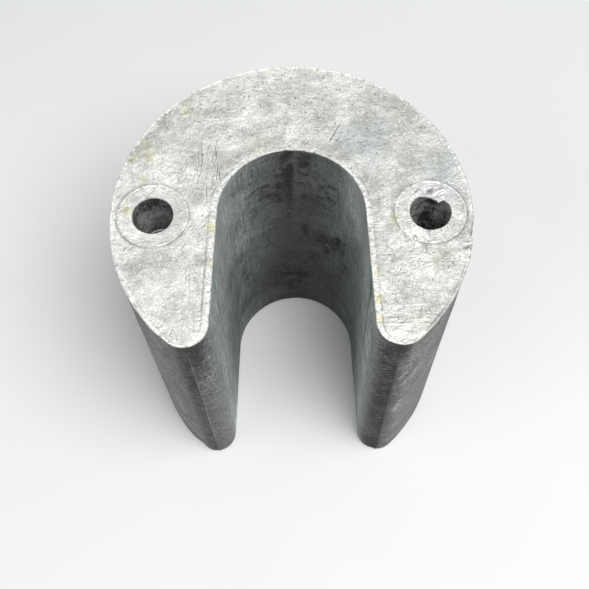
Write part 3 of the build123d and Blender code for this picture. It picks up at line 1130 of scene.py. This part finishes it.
class Shader:
    """A material's nodes, made by short calls. Sizes of noise are in millimetres."""

    def __init__(self, name):
        self.material = bpy.data.materials.new(name)
        self.material.use_nodes = True
        self.tree = self.material.node_tree
        self.tree.nodes.clear()
        self.place = self.node("TexCoord").outputs["Object"]

    def node(self, kind, inputs=None, **settings):
        made = self.tree.nodes.new("ShaderNode" + kind)
        for name, value in settings.items():
            setattr(made, name, value)
        for socket, value in (inputs or {}).items():
            if isinstance(value, bpy.types.NodeSocket):
                self.tree.links.new(value, made.inputs[socket])
            else:
                made.inputs[socket].default_value = value
        return made

    def mask(self, name):
        return self.node("Attribute", attribute_name=name).outputs["Fac"]

    def math(self, operation, a, b=0.0):
        return self.node("Math", {0: a, 1: b}, operation=operation, use_clamp=True).outputs[0]

    def mix(self, share, a, b, blend="MIX"):
        """Colour a where share is 0 and b where it is 1. Each is a tuple or a node's output."""
        a, b = ((*colour, 1) if isinstance(colour, tuple) else colour for colour in (a, b))
        made = self.node("Mix", {0: share, 6: a, 7: b}, data_type="RGBA", blend_type=blend)
        return made.outputs[2]

    def mix_number(self, share, a, b):
        return self.node("Mix", {0: share, 2: a, 3: b}, data_type="FLOAT").outputs[0]

    def noise(self, size, detail=2.0, stretch=(1, 1, 1), roughness=0.5):
        scale = [1 / (MM * size * part) for part in stretch]
        scaled = self.node("VectorMath", {0: self.place, 1: scale}, operation="MULTIPLY")
        inputs = {"Vector": scaled.outputs[0], "Scale": 1.0, "Detail": detail,
                  "Roughness": roughness}
        return self.node("TexNoise", inputs).outputs["Fac"]

    def ramp(self, value, low, high):
        """0 where value is low and 1 where it is high, with soft ends."""
        inputs = {"Value": value, "From Min": low, "From Max": high}
        return self.node("MapRange", inputs, interpolation_type="SMOOTHSTEP").outputs["Result"]

    def spread(self, value, low, high, least, most):
        """least where value is low and most where it is high, in a straight line."""
        inputs = {"Value": value, "From Min": low, "From Max": high,
                  "To Min": least, "To Max": most}
        return self.node("MapRange", inputs).outputs["Result"]

    def share(self, value, part):
        return self.math("MULTIPLY", value, part)

    def times(self, tone, *factors):
        for factor in factors:
            tone = self.mix(1.0, tone, factor, "MULTIPLY")
        return tone

    def coated(self, tone, *coats):
        """tone under some coats, each given by its mask, its strength there and its colour."""
        for mask, strength, colour in coats:
            tone = self.mix(self.share(mask, strength), tone, colour)
        return tone

    def output(self, **inputs):
        """Ends the material with a Principled shader. Input names have _ for a space."""
        inputs = {name.replace("_", " "): value for name, value in inputs.items()}
        shader = self.node("BsdfPrincipled", inputs)
        self.node("OutputMaterial", {"Surface": shader.outputs["BSDF"]})
        return self.material

    def bump(self, height, depth, normal):
        inputs = {"Height": height, "Distance": depth * MM, "Strength": 1.0}
        if normal is not None:
            inputs["Normal"] = normal
        return self.node("Bump", inputs).outputs["Normal"]


def shade_of(colour, factor):
    return tuple(factor * part for part in colour)


# the rim's near-white tone stands for a polished edge with a painted highlight on it; the next is
# the tone of polish and painted highlights
RIM_TONE, POLISH_AND_HIGHLIGHT_TONE = (0.95, 0.95, 0.92), (0.94, 0.94, 0.92)
STAIN_TONE, DULL_AND_SHADE_TONE, GRIME_AND_SHADE_TONE = (0.90, 0.86, 0.46), (0.34, 0.335, 0.28), (0.020, 0.020, 0.017)
COOL_GROUND, COOL_SKIN = (0.38, 0.415, 0.42), (0.20, 0.24, 0.235)
DIRT_AND_SHADE_GROUND, DIRT_AND_SHADE_SKIN = (0.10, 0.10, 0.092), (0.022, 0.023, 0.021)


def metal(name, ground_colour, skin_colour, wall_colour):
    """Metal, linished where ground is 1 and elsewhere as cast, or rubbed where drag is 1."""
    s = Shader(name)
    ground, rim, dirt, shine, stain, cool, grime, drag, wash, pebbled = map(s.mask, MASKS)

    cloud = s.noise(8.0, 6.0, roughness=0.82)
    ragged = s.noise(2.4, 5.0, roughness=0.75)
    grain = s.noise(0.45, 2.0, roughness=0.7)
    speckle = s.noise(0.9, 3.0, roughness=0.7)
    flecks = s.ramp(speckle, 0.57, 0.68)
    cracks = s.ramp(speckle, 0.43, 0.33)
    patches = s.ramp(s.noise(3.6, 4.0, roughness=0.65), 0.50, 0.66)
    pits = s.ramp(s.noise(0.5, 1.5), 0.68, 0.75)
    streaks = s.noise(0.5, 4.0, (1, 1, 14), 0.7)
    pebble = s.noise(0.75, 2.0, (1, 1, 1.8), 0.7)
    strokes = s.noise(0.3, 3.0, (14, 1.2, 1), 0.6)
    arcs = s.noise(0.6, 3.0, (10, 10, 1), 0.6)

    # linished metal
    ground_tone = s.times(ground_colour, s.spread(cloud, 0.36, 0.64, 0.66, 1.28),
                          s.spread(grain, 0.30, 0.70, 0.82, 1.18))
    ground_tone = s.coated(ground_tone, (patches, 0.45, shade_of(ground_colour, 0.62)),
                           (flecks, 0.55, shade_of(ground_colour, 1.5)),
                           (cracks, 0.40, shade_of(ground_colour, 0.45)))
    drag_marks = s.spread(strokes, 0.36, 0.64, 0.72, 1.28)
    ground_tone = s.times(ground_tone, s.mix_number(drag, 1.0, drag_marks))
    broken_dull_and_shade = s.math("MULTIPLY", wash, s.ramp(ragged, 0.3, 0.6))
    ground_tone = s.coated(ground_tone, (cool, 0.55, COOL_GROUND),
                           (broken_dull_and_shade, 0.75, DULL_AND_SHADE_TONE),
                           (pits, 0.35, shade_of(ground_colour, 0.4)))

    # the as-cast skin, and the rubbed walls of the slot
    skin_tone = s.times(skin_colour, s.spread(cloud, 0.36, 0.64, 0.58, 1.42))
    wall_tone = s.times(wall_colour, s.spread(cloud, 0.36, 0.64, 0.72, 1.28))
    wall_tone = s.coated(wall_tone, (s.ramp(streaks, 0.51, 0.62), 0.7, shade_of(wall_colour, 1.7)),
                         (s.ramp(streaks, 0.47, 0.36), 0.7, shade_of(wall_colour, 0.45)))
    skin_tone = s.mix(drag, skin_tone, wall_tone)
    grain_share = s.spread(pebbled, 0.0, 1.0, 0.3, 1.0)
    smooth_share = s.spread(pebbled, 0.08, 0.25, 1.0, 0.0)
    skin_tone = s.times(skin_tone,
                        s.mix_number(grain_share, 1.0, s.spread(grain, 0.30, 0.70, 0.42, 1.58)),
                        s.mix_number(pebbled, 1.0, s.spread(pebble, 0.36, 0.64, 0.32, 1.68)),
                        s.mix_number(smooth_share, 1.0, s.spread(arcs, 0.36, 0.64, 0.84, 1.16)))
    skin_tone = s.coated(skin_tone, (flecks, 0.3, shade_of(skin_colour, 1.9)),
                         (cracks, 0.3, shade_of(skin_colour, 0.5)),
                         (cool, 0.3, COOL_SKIN), (pits, 0.4, shade_of(skin_colour, 0.35)))
    # darker where the slot's painted shade and the parting-line bands lie, and under grime; then a
    # near-black coat of grime and painted shade
    skin_tone = s.times(skin_tone, s.mix_number(wash, 1.0, 0.25), s.mix_number(grime, 1.0, 0.75))
    mottle = s.math("ADD", s.share(ragged, 0.55), s.share(pebble, 0.45))
    mottled_grime_and_shade = s.math("ADD", grime, s.spread(mottle, 0.39, 0.62, -0.46, 0.32))
    skin_tone = s.coated(skin_tone, (s.ramp(mottled_grime_and_shade, 0.05, 0.8), 0.85, GRIME_AND_SHADE_TONE))

    # the rim's tone with its painted edge highlight, polish and painted highlights, stains, and
    # dirt with painted shade, over both
    tone = s.mix(ground, skin_tone, ground_tone)
    tone = s.mix(s.math("MULTIPLY", rim, s.ramp(speckle, 0.36, 0.56)), tone, RIM_TONE)
    tone = s.coated(tone, (shine, 0.75, POLISH_AND_HIGHLIGHT_TONE))
    yellow = s.share(s.math("MULTIPLY", stain, s.spread(speckle, 0.35, 0.6, 0.55, 1.0)), 0.85)
    tone = s.times(tone, s.mix(yellow, (1, 1, 1), STAIN_TONE))
    tone = s.coated(tone, (dirt, 0.75, s.mix(ground, DIRT_AND_SHADE_SKIN, DIRT_AND_SHADE_GROUND)))

    roughness = s.mix_number(s.share(speckle, 0.5), 0.57, 0.75)
    roughness = s.mix_number(s.share(grime, 0.6), roughness, 0.8)
    roughness = s.mix_number(s.math("MAXIMUM", shine, s.share(flecks, 0.6)), roughness, 0.36)

    normal = None
    for height, depth in ((s.noise(2.4, 5.0, roughness=0.7), 0.55), (speckle, 0.18),
                          (s.mix_number(drag, 0.5, streaks), 0.12),
                          (s.math("SUBTRACT", 1.0, pits), 0.10)):
        normal = s.bump(height, depth, normal)

    metallic = s.mix_number(ground, 0.45, 0.35)
    metallic = s.mix_number(s.math("MAXIMUM", shine, rim), metallic, 0.7)
    return s.output(Base_Color=tone, Metallic=metallic, Roughness=roughness, Normal=normal)


zinc = metal("cast_zinc", (0.70, 0.70, 0.655), (0.182, 0.186, 0.175), (0.48, 0.525, 0.51))
steel = metal("sleeve_steel", (0.70, 0.70, 0.66), (0.42, 0.43, 0.41), (0.42, 0.43, 0.41))


# ---------------------------------------------------------------- the object

body = make_body(zinc)
left_sleeve = make_sleeve("left_bolt_sleeve", -1, steel)
right_sleeve = make_sleeve("right_bolt_sleeve", 1, steel)
for piece, node, slot in ((body, "anode_body", "cast_zinc"),
                          (left_sleeve, "left_sleeve", "sleeve_steel"),
                          (right_sleeve, "right_sleeve", "sleeve_steel")):
    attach(piece, "root")
    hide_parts(node)


# ---------------------------------------------------------------- floor, light and camera

def make_floor():
    half = 2.0  # metres
    corners = [(-half, -half, 0), (half, -half, 0), (half, half, 0), (-half, half, 0)]
    mesh = bpy.data.meshes.new("floor")
    mesh.from_pydata(corners, [], [(0, 1, 2, 3)])
    s = Shader("pale_floor")
    tone = s.mix(s.noise(60.0), (0.74, 0.74, 0.73), (0.78, 0.78, 0.77))
    mesh.materials.append(s.output(Base_Color=tone, Roughness=0.85))
    floor = bpy.data.objects.new("floor", mesh)
    bpy.context.scene.collection.objects.link(floor)
    return floor


def looking(place, target, roll=0.0):
    """The matrix of a camera or light at place that looks at target. roll is in radians."""
    forward = (Vector(target) - Vector(place)).normalized()
    right = forward.cross(Vector((0, 0, 1))).normalized()
    turned = Matrix.Rotation(-roll, 3, forward) @ right
    upward = turned.cross(forward)
    matrix = Matrix((turned, upward, -forward)).transposed().to_4x4()
    matrix.translation = Vector(place)
    return matrix


def add_light(name, place, size, watts):
    """A round lamp over the part, of that size across in metres."""
    light = bpy.data.lights.new(name, "AREA")
    light.shape = "DISK"
    light.size = size
    light.energy = watts
    lamp = bpy.data.objects.new(name, light)
    lamp.matrix_world = looking(place, (0, 0, HEIGHT * MM))
    bpy.context.scene.collection.objects.link(lamp)


def add_camera(azimuth, elevation, distance, target, roll, lens):
    """A camera at that azimuth and elevation, in degrees, and distance from its target.

    roll is in degrees and lens in millimetres, for a sensor 36 mm wide.
    """
    across, up = math.radians(azimuth), math.radians(elevation)
    away = Vector((math.sin(across) * math.cos(up), -math.cos(across) * math.cos(up),
                   math.sin(up)))
    data = bpy.data.cameras.new("camera")
    data.lens = lens
    data.sensor_width = 36
    data.clip_start = 0.01
    camera = bpy.data.objects.new("camera", data)
    camera.matrix_world = looking(Vector(target) + away * distance, target, math.radians(roll))
    bpy.context.scene.collection.objects.link(camera)
    bpy.context.scene.camera = camera


floor = make_floor()
floor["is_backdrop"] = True

add_light("key_light", (0.22, -0.22, 0.78), 0.55, 7.0)
add_light("fill_light", (-0.55, -0.35, 0.55), 0.6, 1.2)

world = bpy.data.worlds.new("studio")
world.use_nodes = True
background = world.node_tree.nodes["Background"].inputs
background["Color"].default_value = (0.90, 0.95, 1.0, 1)
background["Strength"].default_value = 0.3
bpy.context.scene.world = world
bpy.context.scene.view_settings.view_transform = "Standard"

# the camera that the photo's outlines fit
target = Vector((0.0123 * OUTER_R, -0.4924 * OUTER_R, HEIGHT)) * MM
add_camera(azimuth=1.04, elevation=65.35, distance=4.81 * OUTER_R * MM, target=target,
           roll=-1.75, lens=55.95)

low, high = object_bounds()
{"cad": [list(cad_low), list(cad_high)], "visual": [list(low), list(high)]}
